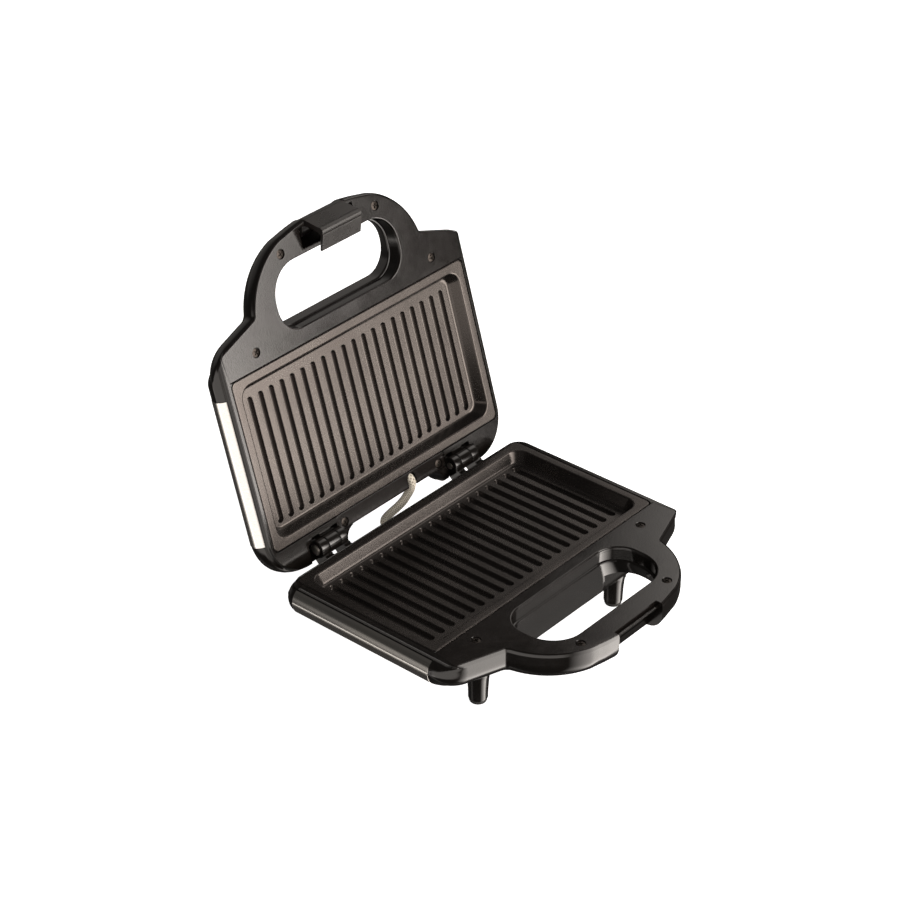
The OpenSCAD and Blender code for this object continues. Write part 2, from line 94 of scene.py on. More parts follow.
def loft(rings, caps=True):
    n = len(rings[0])
    v = [p for r in rings for p in r]
    f = []
    for k in range(len(rings) - 1):
        assert len(rings[k + 1]) == n
        for j in range(n):
            a = k*n + j; b = k*n + (j + 1) % n
            f.append([a, b, b + n, a + n])
    if caps:
        f.append([j for j in range(n)][::-1])
        f.append([(len(rings) - 1)*n + j for j in range(n)])
    return M(v, f)

def at_z(p2, z):
    return [(q[0], q[1], z) for q in p2]

def at_d(p2, d):
    return [(q[0], d, q[1]) for q in p2]

def at_x(p2, x):
    return [(x, q[0], q[1]) for q in p2]

def prism(p2, z0, z1):
    return loft([at_z(p2, z0), at_z(p2, z1)])

def box(x0, x1, d0, d1, z0, z1):
    return prism([(x0, d0), (x1, d0), (x1, d1), (x0, d1)], z0, z1)

def circle(r, n=48, cx=0, cy=0, a0=0.0):
    return [(cx + r*math.cos(a0 + 2*math.pi*k/n), cy + r*math.sin(a0 + 2*math.pi*k/n)) for k in range(n)]

def lathe_z(prof, n=48, cx=0, cd=0):
    """prof: (radius, z); first and last rings are capped."""
    return loft([at_z(circle(max(r, 1e-3), n, cx, cd), z) for r, z in prof])

def lathe_x(prof, n=48, cd=0, cz=0):
    return loft([at_x(circle(max(r, 1e-3), n, cd, cz), x) for r, x in prof])

def lathe_y(prof, n=48, cx=0, cz=0):
    return loft([at_d(circle(max(r, 1e-3), n, cx, cz), d) for r, d in prof])

def arcp(cx, cy, r, a0, a1, n):
    return [(cx + r*math.cos(math.radians(a0 + (a1 - a0)*k/n)),
             cy + r*math.sin(math.radians(a0 + (a1 - a0)*k/n))) for k in range(n + 1)]

def fillet(pts, radii, n=5):
    """Closed polygon with its corners rounded."""
    out = []
    m = len(pts)
    for k in range(m):
        p0, p1, p2 = Vector(pts[k - 1]), Vector(pts[k]), Vector(pts[(k + 1) % m])
        r = radii[k] if isinstance(radii, (list, tuple)) else radii
        a = (p0 - p1); b = (p2 - p1)
        la, lb = a.length, b.length
        a.normalize(); b.normalize()
        ang = a.angle(b)
        if r <= 0 or ang > math.pi - 0.02:
            out += [tuple(p1)]*(n + 1) if False else [tuple(p1)]
            continue
        t = min(r/math.tan(ang/2), la*0.48, lb*0.48)
        r2 = t*math.tan(ang/2)
        c = p1 + (a + b).normalized()*(r2/math.sin(ang/2))
        s, e = p1 + a*t - c, p1 + b*t - c
        th = s.angle(e)
        sg = 1 if (s.x*e.y - s.y*e.x) > 0 else -1
        for i in range(n + 1):
            w = sg*th*i/n
            out.append((c.x + s.x*math.cos(w) - s.y*math.sin(w), c.y + s.x*math.sin(w) + s.y*math.cos(w)))
    return out

_tmp = []
def to_obj(m, name="tmp"):
    me = bpy.data.meshes.new(name)
    me.from_pydata([tuple(p) for p in m.v], [], m.f)
    me.validate()
    bm = bmesh.new(); bm.from_mesh(me)
    bmesh.ops.remove_doubles(bm, verts=bm.verts, dist=1e-4)
    bmesh.ops.recalc_face_normals(bm, faces=bm.faces)
    bm.to_mesh(me); bm.free()
    o = bpy.data.objects.new(name, me)
    SCN.collection.objects.link(o)
    return o

def kill(o):
    me = o.data
    bpy.data.objects.remove(o)
    if me.users == 0:
        bpy.data.meshes.remove(me)

def to_m(o):
    me = o.data
    v = np.zeros(len(me.vertices)*3); me.vertices.foreach_get("co", v)
    return M(v.reshape(-1, 3), [list(p.vertices) for p in me.polygons])

def boolean(a, b, op="DIFFERENCE"):
    """a and b are M; returns M."""
    oa, ob = to_obj(a), to_obj(b)
    md = oa.modifiers.new("b", "BOOLEAN")
    md.operation = op; md.object = ob
    try:
        md.solver = "MANIFOLD"
    except TypeError:
        md.solver = "EXACT"
    dg = bpy.context.evaluated_depsgraph_get()
    me = bpy.data.meshes.new_from_object(oa.evaluated_get(dg))
    if len(me.vertices) == 0:
        md.solver = "EXACT"
        dg = bpy.context.evaluated_depsgraph_get()
        me = bpy.data.meshes.new_from_object(oa.evaluated_get(dg))
    v = np.zeros(len(me.vertices)*3); me.vertices.foreach_get("co", v)
    out = M(v.reshape(-1, 3), [list(p.vertices) for p in me.polygons])
    bpy.data.meshes.remove(me)
    kill(oa); kill(ob)
    return out

def cut(a, *bs):
    for b in bs:
        a = boolean(a, b, "DIFFERENCE")
    return a

def join(a, *bs):
    for b in bs:
        a = boolean(a, b, "UNION")
    return a

def bevelled(m, width, angle=40, seg=2, pick=None):
    o = to_obj(m)
    bm = bmesh.new(); bm.from_mesh(o.data)
    es = [e for e in bm.edges if len(e.link_faces) == 2 and e.calc_face_angle(0) > math.radians(angle)
          and (pick is None or pick(e))]
    bmesh.ops.bevel(bm, geom=es, offset=width, segments=seg, profile=0.5, affect="EDGES", clamp_overlap=True)
    bm.to_mesh(o.data); bm.free()
    r = to_m(o); kill(o)
    return r

PIECES = {}
def piece(name, m, half, mat, nodes=(), body=None, sharp=32, ride=True, weighted=True):
    o = to_obj(m, name)
    me = o.data
    v = np.zeros(len(me.vertices)*3); me.vertices.foreach_get("co", v)
    w = PLACE[half](v.reshape(-1, 3))
    me.vertices.foreach_set("co", w.reshape(-1))
    if half in ("lid", "latch"):
        me.flip_normals()
    me.shade_smooth()
    me.set_sharp_from_angle(angle=math.radians(sharp))
    me.materials.clear(); me.materials.append(mat)
    me.update()
    if weighted:
        md = o.modifiers.new("wn", "WEIGHTED_NORMAL")
        md.keep_sharp = True; md.weight = 50
    if ride:
        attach(o, body or half)
    if nodes:
        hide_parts(*nodes)
    PIECES[name] = o
    return o

# ------------------------------------------------------------- outlines
HW = 121.0
SNV = (0.3172, 0.9484); SC = 179.57
def shoulder_d(x, i): return (SC - i - SNV[0]*x)/SNV[1]

def front_right(i, sx, rc):
    cx = sx - rc; cy = shoulder_d(sx - rc, i) - rc/SNV[1]
    return (arcp(0, 43.7, 165 - i, 90, 76.5, 8) + arcp(26, 152, 54 - i, 72, 14.09, 18)
            + arcp(82.25, 166.12, 4 + i, 194.09, 251.51, 8) + arcp(cx, cy, rc, 71.51, 0, 9))

def fl(p): return [(-q[0], q[1]) for q in p[::-1]]

def shell_outline(i, rd, rr, rf, s=None, rc=None, q=0.0):
    """s: inset of the sides, rc: radius of the shoulder corners, q: extra inset of the back."""
    s = i if s is None else s
    rc = max(2, 9 - i) if rc is None else rc
    f = front_right(i - 1.2 + 0.02, HW - s, rc)
    b = arcp(HW - s - rr, rd + rf*i + q + rr, rr, 0, -90, 14)
    return f + b + fl(b) + fl(f)

def bezel_outline(i):
    f = front_right(i, HW - 6.2 - i, 3.2)
    e = [(112.2, 132.4 + i)]
    return f + e + fl(e) + fl(f)

def hole_outline(i, n=12):
    return hole_ring(i, i, i, n)

def hole_ring(ie, ir, jf, n=12):
    """Opening with its ends, rear and front moved in by ie, ir and jf."""
    r1, r0, w = 22 - (ie + jf)/2, 17 - (ie + ir)/2, HOLE_HW - ie
    return (arcp(w - r1, 187 - jf - r1, r1, 90, 0, n) + arcp(w - r0, HOLE_REAR + ir + r0, r0, 0, -90, n)
            + arcp(-w + r0, HOLE_REAR + ir + r0, r0, -90, -180, n) + arcp(-w + r1, 187 - jf - r1, r1, 180, 90, n))

def rrect(hx, d0, d1, r, n=6):
    return (arcp(hx - r, d1 - r, r, 90, 0, n) + arcp(hx - r, d0 + r, r, 0, -90, n)
            + arcp(-hx + r, d0 + r, r, -90, -180, n) + arcp(-hx + r, d1 - r, r, 180, 90, n))

SIDE_Z, SIDE_R, SIDE_A, HT, SX1 = 10.0, 12.0, 66.0, 38.0, 77.0
RIM_R, HOLE_HW, HOLE_REAR, CORNER = 8.0, 58.5, 142.0, 19.0
def set_half(name):
    """The two halves differ a little in their rounding and in their openings."""
    global HW, SIDE_Z, SIDE_R, RIM_R, SX0, SZ0, HOLE_HW, HOLE_REAR, CORNER
    HW, SIDE_Z, SIDE_R, RIM_R, HOLE_HW, HOLE_REAR, CORNER = {
        "base": (121.0, 11.5, 12.5, 9.2, 58.5, 141.6, 20.0), "lid": (120.4, 8.6, 12.0, 6.9, 57.6, 143.8, 25.0)}[name]
    SX0 = HW - SIDE_R + SIDE_R*math.cos(math.radians(SIDE_A)); SZ0 = SIDE_Z + SIDE_R*math.sin(math.radians(SIDE_A))
set_half("base")
def side_in(z):
    """Inset of the side wall between the parting face and its widest line."""
    if z >= SIDE_Z: return 0.0
    return min(5.2, RIM_R - math.sqrt(max(0.0, RIM_R**2 - (SIDE_Z - z)**2)))
def side_x(z):
    if z <= SIDE_Z: return HW
    if z < SZ0: return HW - SIDE_R + math.sqrt(SIDE_R**2 - (z - SIDE_Z)**2)
    return SX0 - (z - SZ0)*(SX0 - SX1)/(HT - SZ0)

def steel_side(t, n=20):
    return arcp(HW - RIM_R, SIDE_Z, RIM_R - t, -60, 0, 14)[:-1] + arcp(HW - SIDE_R, SIDE_Z, SIDE_R - t, 0, SIDE_A, n) + \
        [(SX1 - t*math.tan(math.radians((90 - SIDE_A)/2)), HT - t)]

def ypos(p): return [(q[0], q[1]) for q in p]

# ------------------------------------------------------------ materials
def new_mat(name):
    m = bpy.data.materials.new(name)
    m.use_nodes = True
    nt = m.node_tree
    for n in list(nt.nodes): nt.nodes.remove(n)
    out = nt.nodes.new("ShaderNodeOutputMaterial")
    b = nt.nodes.new("ShaderNodeBsdfPrincipled")
    nt.links.new(b.outputs[0], out.inputs[0])
    return m, nt, b

def coords(nt, rot=0.0, scale=(1, 1, 1)):
    tc = nt.nodes.new("ShaderNodeTexCoord")
    mp = nt.nodes.new("ShaderNodeMapping")
    mp.inputs["Rotation"].default_value = (rot, 0, 0)
    mp.inputs["Scale"].default_value = scale
    nt.links.new(tc.outputs["Object"], mp.inputs[0])
    return mp.outputs[0]

def noise(nt, vec, scale, detail=4.0, rough=0.55):
    n = nt.nodes.new("ShaderNodeTexNoise")
    n.inputs["Scale"].default_value = scale
    n.inputs["Detail"].default_value = detail
    n.inputs["Roughness"].default_value = rough
    nt.links.new(vec, n.inputs["Vector"])
    return n.outputs["Fac"]

def ramp(nt, fac, stops):
    r = nt.nodes.new("ShaderNodeValToRGB")
    el = r.color_ramp.elements
    while len(el) < len(stops): el.new(0.5)
    for e, (p, c) in zip(el, stops):
        e.position = p
        e.color = (*c, 1.0) if len(c) == 3 else c
    nt.links.new(fac, r.inputs[0])
    return r.outputs[0]

def rng(nt, fac, a, b, lo=0.3, hi=0.7):
    r = nt.nodes.new("ShaderNodeMapRange")
    r.inputs["From Min"].default_value = lo; r.inputs["From Max"].default_value = hi
    r.inputs["To Min"].default_value = a; r.inputs["To Max"].default_value = b
    nt.links.new(fac, r.inputs["Value"])
    return r.outputs[0]

def math2(nt, op, a, b):
    m = nt.nodes.new("ShaderNodeMath"); m.operation = op
    for k, v in ((0, a), (1, b)):
        if isinstance(v, (int, float)): m.inputs[k].default_value = v
        else: nt.links.new(v, m.inputs[k])
    return m.outputs[0]

def mixc(nt, fac, a, b):
    m = nt.nodes.new("ShaderNodeMix"); m.data_type = "RGBA"
    if isinstance(fac, (int, float)): m.inputs[0].default_value = fac
    else: nt.links.new(fac, m.inputs[0])
    for k, v in ((6, a), (7, b)):
        if isinstance(v, tuple): m.inputs[k].default_value = (*v, 1.0)
        else: nt.links.new(v, m.inputs[k])
    return m.outputs[2]

def bump(nt, b, height, dist, strength=1.0):
    n = nt.nodes.new("ShaderNodeBump")
    n.inputs["Distance"].default_value = dist
    n.inputs["Strength"].default_value = strength
    nt.links.new(height, n.inputs["Height"])
    nt.links.new(n.outputs[0], b.inputs["Normal"])

def edge_wear(nt, lo=0.53, hi=0.62):
    g = nt.nodes.new("ShaderNodeNewGeometry")
    return rng(nt, g.outputs["Pointiness"], 0.0, 1.0, lo, hi)

def plastic(name, c0, c1, r0, r1, coat=0.0, grain=900.0, gd=2.0e-5, wear=(0.09, 0.085, 0.08), wamt=0.35, spec=0.5):
    m, nt, b = new_mat(name)
    v = coords(nt)
    big = noise(nt, v, 26.0, 3.0)
    fine = noise(nt, v, grain, 3.0)
    col = ramp(nt, big, [(0.3, c0), (0.7, c1)])
    scuff = noise(nt, v, 140.0, 6.0, 0.7)
    ew = math2(nt, "MULTIPLY", edge_wear(nt), rng(nt, scuff, 0.0, wamt, 0.42, 0.62))
    col = mixc(nt, ew, col, wear)
    nt.links.new(col, b.inputs["Base Color"])
    nt.links.new(math2(nt, "ADD", rng(nt, big, r0, r1), rng(nt, scuff, -0.02, 0.03)), b.inputs["Roughness"])
    b.inputs["Specular IOR Level"].default_value = spec
    if coat:
        b.inputs["Coat Weight"].default_value = coat
        b.inputs["Coat Roughness"].default_value = 0.12
    bump(nt, b, fine, gd)
    return m

def metal(name, c0, c1, r0, r1, rot=0.0, stretch=(900.0, 14.0, 900.0), gd=6e-6, aniso=0.0, spots=None):
    m, nt, b = new_mat(name)
    v = coords(nt, rot)
    vb = coords(nt, rot, stretch)
    brush = noise(nt, vb, 1.0, 5.0, 0.6)
    big = noise(nt, v, 18.0, 3.0)
    col = ramp(nt, brush, [(0.3, c0), (0.7, c1)])
    tint = ramp(nt, big, [(0.35, (0.94, 0.94, 0.95)), (0.65, (1.0, 0.99, 0.97))])
    mm = nt.nodes.new("ShaderNodeMix"); mm.data_type = "RGBA"; mm.blend_type = "MULTIPLY"; mm.inputs[0].default_value = 1.0
    nt.links.new(col, mm.inputs[6]); nt.links.new(tint, mm.inputs[7])
    nt.links.new(mm.outputs[2], b.inputs["Base Color"])
    b.inputs["Metallic"].default_value = 1.0
    if aniso: b.inputs["Anisotropic"].default_value = aniso
    nt.links.new(math2(nt, "ADD", rng(nt, brush, r0, r1), rng(nt, big, -0.02, 0.02)), b.inputs["Roughness"])
    bump(nt, b, brush, gd)
    return m

def coated(name, c0, c1, r0, r1, metallic, rot=0.0, speck=0.25, gd=2.2e-5):
    """Non-stick coating on a casting: fine metallic grain with faint wear on raised edges."""
    m, nt, b = new_mat(name)
    v = coords(nt, rot)
    big = noise(nt, v, 22.0, 4.0)
    grain = noise(nt, v, 1500.0, 2.0, 0.6)
    fleck = noise(nt, v, 3800.0, 1.0, 0.5)
    col = ramp(nt, big, [(0.32, c0), (0.68, c1)])
    light = tuple(min(1.0, c*1.9 + 0.03) for c in c1)
    col = mixc(nt, rng(nt, fleck, 0.0, speck, 0.58, 0.74), col, light)
    ew = math2(nt, "MULTIPLY", edge_wear(nt, 0.54, 0.66), rng(nt, noise(nt, v, 160.0, 5.0, 0.7), 0.0, 0.45, 0.4, 0.62))
    col = mixc(nt, ew, col, tuple(min(1.0, c*1.6 + 0.02) for c in c1))
    nt.links.new(col, b.inputs["Base Color"])
    b.inputs["Metallic"].default_value = metallic
    nt.links.new(math2(nt, "ADD", rng(nt, big, r0, r1), rng(nt, grain, -0.03, 0.04)), b.inputs["Roughness"])
    bump(nt, b, grain, gd)
    return m

MAT = {}
MAT["shell"] = plastic("black plastic", (0.0046, 0.0037, 0.0031), (0.0072, 0.0058, 0.0050), 0.10, 0.15, wear=(0.03, 0.027, 0.025))
MAT["bezel"] = plastic("bezel plastic", (0.0066, 0.0052, 0.0046), (0.0096, 0.0077, 0.0068), 0.10, 0.14, wear=(0.035, 0.031, 0.028))
MAT["latch"] = plastic("latch plastic", (0.0100, 0.0082, 0.0072), (0.0140, 0.0115, 0.0102), 0.24, 0.32, wear=(0.035, 0.031, 0.028))
MAT["foot"] = plastic("foot plastic", (0.0046, 0.0038, 0.0033), (0.0075, 0.0062, 0.0054), 0.14, 0.20, wear=(0.03, 0.027, 0.025))
MAT["rubber"] = plastic("soft rubber", (0.012, 0.012, 0.012), (0.022, 0.021, 0.020), 0.62, 0.78, grain=1600.0, gd=5e-5, spec=0.35)
# Both steel covers are the same brushed steel; the lower copy is given a darker colour as painted shade.
MAT["steel_base"] = metal("brushed steel lower, darker copy as painted shade", (0.50, 0.49, 0.47), (0.62, 0.61, 0.59), 0.13, 0.18, stretch=(900.0, 12.0, 900.0), gd=3e-6)
MAT["steel_lid"] = metal("brushed steel upper", (0.62, 0.61, 0.59), (0.74, 0.73, 0.71), 0.13, 0.18, rot=math.radians(106.4), gd=3e-6)
MAT["screw"] = metal("dark screw", (0.020, 0.017, 0.015), (0.045, 0.039, 0.035), 0.28, 0.40, stretch=(700.0, 700.0, 700.0))
MAT["plated"] = metal("plated screw", (0.45, 0.44, 0.42), (0.62, 0.61, 0.58), 0.25, 0.38, stretch=(500.0, 500.0, 500.0))
MAT["pin"] = metal("plated pin", (0.30, 0.28, 0.26), (0.46, 0.44, 0.41), 0.30, 0.42, stretch=(900.0, 300.0, 300.0))
# Both grill plates are one casting; the lower copy is given a slightly darker colour as painted shade.
MAT["plate_lid"] = coated("coated casting upper", (0.058, 0.051, 0.047), (0.070, 0.062, 0.057), 0.22, 0.28, 0.85)
MAT["plate_base"] = coated("coated casting lower, darker copy as painted shade", (0.054, 0.048, 0.045), (0.066, 0.059, 0.055), 0.22, 0.28, 0.85)
MAT["sheath"] = metal("heater sheath", (0.13, 0.115, 0.105), (0.24, 0.21, 0.19), 0.45, 0.60, stretch=(120.0, 120.0, 120.0), gd=2e-5)
MAT["tray"] = metal("sheet tray", (0.62, 0.62, 0.61), (0.74, 0.74, 0.73), 0.28, 0.40, stretch=(20.0, 700.0, 700.0))
MAT["ceramic"] = plastic("ceramic", (0.52, 0.49, 0.44), (0.62, 0.59, 0.53), 0.55, 0.70, wear=(0.4, 0.37, 0.33), spec=0.4)
MAT["pale"] = plastic("pale plastic", (0.66, 0.63, 0.55), (0.74, 0.71, 0.63), 0.42, 0.52, wear=(0.5, 0.48, 0.42))
MAT["wire"] = plastic("wire cover", (0.30, 0.035, 0.022), (0.40, 0.055, 0.035), 0.45, 0.55, wear=(0.3, 0.05, 0.04))

def braid_material():
    m, nt, b = new_mat("braided sleeve")
    tc = nt.nodes.new("ShaderNodeTexCoord")
    sp = nt.nodes.new("ShaderNodeSeparateXYZ")
    nt.links.new(tc.outputs["UV"], sp.inputs[0])
    def strand(sign):
        a = math2(nt, "ADD", math2(nt, "MULTIPLY", sp.outputs[0], 2*math.pi*6), math2(nt, "MULTIPLY", sp.outputs[1], sign*2*math.pi*0.55))
        return math2(nt, "MULTIPLY", math2(nt, "ADD", math2(nt, "SINE", a, 0.0), 1.0), 0.5)
    s = math2(nt, "MAXIMUM", strand(1), strand(-1))
    v = coords(nt)
    fib = noise(nt, v, 2600.0, 3.0)
    h = math2(nt, "ADD", s, math2(nt, "MULTIPLY", fib, 0.5))
    col = ramp(nt, s, [(0.35, (0.26, 0.22, 0.17)), (0.62, (0.56, 0.50, 0.40)), (0.95, (0.74, 0.68, 0.57))])
    stain = noise(nt, v, 90.0, 4.0)
    col = mixc(nt, rng(nt, stain, 0.0, 0.35, 0.5, 0.75), col, (0.36, 0.31, 0.25))
    nt.links.new(col, b.inputs["Base Color"])
    nt.links.new(rng(nt, fib, 0.6, 0.8), b.inputs["Roughness"])
    b.inputs["Sheen Weight"].default_value = 0.15
    bump(nt, b, h, 2.5e-4, 0.8)
    return m
MAT["braid"] = braid_material()

def lens_material():
    m, nt, b = new_mat("tinted lens")
    v = coords(nt)
    big = noise(nt, v, 120.0, 3.0)
    col = ramp(nt, big, [(0.3, (0.30, 0.012, 0.010)), (0.7, (0.42, 0.025, 0.018))])
    nt.links.new(col, b.inputs["Base Color"])
    nt.links.new(rng(nt, big, 0.06, 0.14), b.inputs["Roughness"])
    b.inputs["Coat Weight"].default_value = 0.6
    b.inputs["Coat Roughness"].default_value = 0.05
    bump(nt, b, noise(nt, v, 900.0, 2.0), 1e-5)
    return m
MAT["lens"] = lens_material()

# =====================================================================
# Shells
# =====================================================================
def edge_profile(t, r, n):
    """(z, inset) of a rounded top edge of radius r, from the crest down."""
    return [(r*(1 - math.cos(math.radians(90*k/n))), r*(1 - math.sin(math.radians(90*k/n)))) for k in range(n + 1)]

def front_form(rd, rr, rf, z1=22.0, r_low=13.0, z_arc=9.0):
    prof = [(0.0, 1.0), (0.07, 0.80), (0.25, 0.64), (0.8, 0.45), (1.5, 0.22), (2.2, 0.0), (2.5, 0.0)]
    prof += [(z, 0.0) for z in (2.8, 3.2, 3.8, 4.6, 5.6, 6.8, 8.2) if z < z_arc - 0.3] + [(z_arc, 0.0)]
    for k in range(1, 12):
        a = math.radians(84.0*k/11)
        prof.append((z_arc + r_low*math.sin(a), r_low*(1 - math.cos(a))))
    prof = [p for p in prof if p[0] < z1 - 0.05] + [(z1, r_low - 0.6)]
    rings = []
    for z, i in prof:
        u = min(1.0, z/8.5)
        rc = 4.0 + (CORNER - 4.0)*math.sin(u*math.pi/2) - 0.4*i
        sd = side_in(z) + (i if z > SIDE_Z else 0.0) + {0.0: 0.5, 0.07: 0.3, 0.25: 0.12}.get(z, 0.0)
        q = 2.6*(1 - math.sin(min(1.0, max(0.0, z - 0.6)/6.0)*math.pi/2)) if rf < 0.5 else 0.0
        if rf < 0.5: q += {0.0: 0.45, 0.07: 0.25, 0.25: 0.1}.get(z, 0.0)
        rings.append(at_z(shell_outline(i, rd, rr, rf, sd, rc, q), z))
    return loft(rings)

def body_form(rd, rr, rf, dfront, z0=8.0):
    """The deeper body behind the handle: rounded sides, flat outside."""
    zs = [z0, 10, 12, 13.5, 15, 16.5, 18, 19, 20, SZ0, 24, 28, 32, 34, 36, 37.2, 37.7, 37.93, 38.0]
    rings = []
    for z in zs:
        e = 0.0
        if z > 37.2: e = {37.7: 0.5, 37.93: 1.2, 38.0: 2.4}[z]
        xs = side_x(min(z, 37.2)) - (z > 37.2)*e - 0.25
        i = HW - side_x(z)
        back = rd + rf*i + (0.3 if rf > 0.5 else 0.0) + e*0.6
        fr = dfront(z) - e*0.6
        r_f = 9.0
        r_b = min(rr, (fr - back)*0.45)
        p = arcp(xs - r_f, fr - r_f, r_f, 90, 0, 8) + arcp(xs - r_b, back + r_b, r_b, 0, -90, 12)
        p = p + fl(p)
        rings.append(at_z(p, z))
    return loft(rings)

def hole_cutter(zb, r_edge=1.0):
    """Hand opening with a step in its wall and a flare towards the outside."""
    prof = [(z, i, i, i) for z, i in ((-2.0, -0.62), (2.9, -0.62), (9.9, -0.62), (10.05, -0.35), (10.2, 0.1), (10.45, 0.42), (10.9, 0.6))]
    prof += [(12.0, 0.2, 0.6, 0.55), (14.0, -0.7, 0.6, 0.5)]
    R = 5.0
    for k in range(0, 9):
        a = math.radians(90.0*k/8)
        z = zb - R + R*math.sin(a)
        prof.append((z, -0.7 - (z - 14.0)*0.52, 0.6, 0.45 - R*(1 - math.cos(a))*0.8))
    prof += [(zb + 4, -6.0, 0.6, 0.45 - R*0.8 - 0.3), (zb + 18, -6.6, 0.4, 0.45 - R*0.8 - 0.5)]
    return loft([at_z(hole_ring(a, b, c), z) for z, a, b, c in prof])

def plate_seat():
    p = [(-1.0, 1.1), (-0.01, 0.7), (0.2, 0.5), (0.5, 0.4), (3.1, 0.4)]
    return loft([at_z(rrect(112 + e, 12.2 - e, 132 + e + 0.2, 4.0 + e), z) for z, e in p])

def bezel_seat():
    p = [(-1.0, -0.9), (-0.01, -0.35), (0.2, -0.22), (0.5, -0.15), (3.0, -0.15)]
    return loft([at_z(bezel_outline(i), z) for z, i in p])

def steel_recess(sd):
    t = 0.8
    ca, sa = math.cos(math.radians(64)), math.sin(math.radians(64))
    lz = SIDE_Z - (RIM_R + 1)*sa
    side = [(HW - RIM_R + (RIM_R + 1)*ca, lz), (HW - RIM_R + (RIM_R - 0.8)*ca, SIDE_Z - (RIM_R - 0.8)*sa)] + steel_side(t)
    poly = [(135, 50), (135, lz)] + side + [(-q[0], q[1]) for q in side[::-1]] + [(-135, lz), (-135, 50)]
    return loft([at_d(poly, sd[0] - 0.25), at_d(poly, sd[1] + 0.25)])

def half_shell(rd, rr, rf, sd, wall_d, dfront, r_low, z_arc):
    s = join(front_form(rd, rr, rf, 22.0, r_low, z_arc), body_form(rd, rr, rf, dfront))
    s = cut(s, hole_cutter(22.0), bezel_seat(), plate_seat())
    def hollow(hw, d1, r, z0, z1):
        d0 = max(wall_d, rd + rf*(HW - side_x(z1)) + 2.8)
        return loft([at_z(rrect(hw, d0, d1, r), z) for z in (z0, z1)])
    s = cut(s, box(-108.1, 108.1, 17, 126.6, 2.9, 13.2), hollow(105.5, 128.5, 6 if rr < 20 else 17, 13, 20.1),
            hollow(94, 124.5, 6 if rr < 20 else 20, 20, 27.05), hollow(80, 116.5, 6 if rr < 20 else 14, 26.9, 35))
    s = cut(s, steel_recess(sd))
    return s

def round_bar_x(x0, x1, r, cd, cz, e=0.6, n=40):
    return lathe_x([(r - e, x0), (r - e*0.3, x0 + e*0.3), (r, x0 + e), (r, x1 - e), (r - e*0.3, x1 - e*0.3), (r - e, x1)], n, cd, cz)

EAR_X = [(55.5, 61.4), (72.6, 79.5)]
KN_X = (61.8, 72.2)
AX = -1.5

def make_base_shell():
    rd, rr, rf = 8.0, 9.5, 0.2
    df = lambda z: 142.8 if z < 31 else 142.8 - 4.4*((z - 31)/7.0)**2
    s = half_shell(rd, rr, rf, (17.0, 133.5), 11.0, df, 11.6, 10.3)
    for e in EAR_X:
        web = loft([at_x(fillet([(-1, 2.2), (6, -0.2), (11, 0.6), (11, 15), (8, 15), (-1, 6.5)], [1.2, 1.0, 0, 0, 0, 1.5], 3), e[0]),
                    at_x(fillet([(-1, 2.2), (6, -0.2), (11, 0.6), (11, 15), (8, 15), (-1, 6.5)], [1.2, 1.0, 0, 0, 0, 1.5], 3), e[1])])
        web = cut(web, box(-130, 130, 8.6, 12, -2, 0.9))
        ear = join(round_bar_x(e[0], e[1], 6.6, 0, AX), web)
        s = join(s, ear, ear.flipx())
    for d in (17.0, 133.0):
        boss = lathe_z([(8.6, 30), (8.4, 36.5), (8.2, 37.4), (8.2, 37.8), (7.9, 38.0)], 40, 71, d)
        s = join(s, boss, boss.flipx())
    s = cut(s, round_bar_x(54, 81, 2.55, 0, AX, 0.0001).both())
    # recess for the latch clip, with its bevelled floor and catch slot
    rec = loft([at_x([(202.2, -1.2), (202.9, 0.3), (205.2, 4.2), (204.2, 5.7), (198.4, 15.0), (196.0, 24), (220, 24), (220, -1.2)], -22.5),
                at_x([(202.2, -1.2), (202.9, 0.3), (205.2, 4.2), (204.2, 5.7), (198.4, 15.0), (196.0, 24), (220, 24), (220, -1.2)], 22.5)])
    s = cut(s, rec, box(-19.5, 19.5, 194, 204.5, 9.6, 14.4))
    s = cut(s, lathe_y([(5.05, 4), (5.05, 16)], 40, 41, 20), lathe_y([(4.75, 4), (4.75, 16)], 40, -9, 18))
    return s

def make_lid_shell():
    rd, rr, rf = -9.0, 28.0, 1.0
    df = lambda z: 139.4 - 0.32*max(0, z - 18) - 0.010*max(0, z - 18)**2
    s = half_shell(rd, rr, rf, (19.0, 122.0), 4.0, df, 17.0, 3.6)
    notch = [(-49, -14), (49, -14)] + arcp(40, -8.2, 9, 0, 90, 8) + arcp(-40, -8.2, 9, 90, 180, 8)
    s = cut(s, prism(notch, -1, 39))
    kn = join(round_bar_x(KN_X[0], KN_X[1], 6.6, 0, AX), box(KN_X[0] + 0.3, KN_X[1] - 0.3, -2.6, 10, 2.2, 9))
    s = join(s, kn, kn.flipx())
    s = cut(s, box(-54.3, 54.3, 0.7, 12.3, -1, 3.1))
    for e in EAR_X:
        c = join(lathe_x([(7.5, e[0] - 0.4), (7.5, e[1] + 0.4)], 40, 0, AX), box(e[0] - 0.4, e[1] + 0.4, -12, 8.5, -1, 3.2))
        s = cut(s, c, c.flipx())
    s = cut(s, round_bar_x(54, 81, 2.55, 0, AX, 0.0001).both(), box(79.4, 84, -5, 5, -1, 4.4).both())
    s = cut(s, box(54, 84, -12, -3, -1, 3.6).both())
    s = cut(s, lathe_z([(4.2, 0), (4.2, 14)], 32, 20, 9), box(15.8, 24.2, -2, 9, -1, 7.8), box(15.8, 24.2, 9, 20, 5, 14))
    # pocket of the latch clip, open to the front
    s = cut(s, box(-25.5, 25.5, 191, 205, -1, 15.5), box(-19.3, 19.3, 200, 215, -1, 17))
    s = cut(s, box(-29.5, 29.5, 198.5, 201.5, 7.5, 10.5))
    for x in (-9, 9):
        s = cut(s, lathe_z([(4.05, 20), (4.05, 37.6), (4.5, 39)], 40, x, 127.3))
    return s

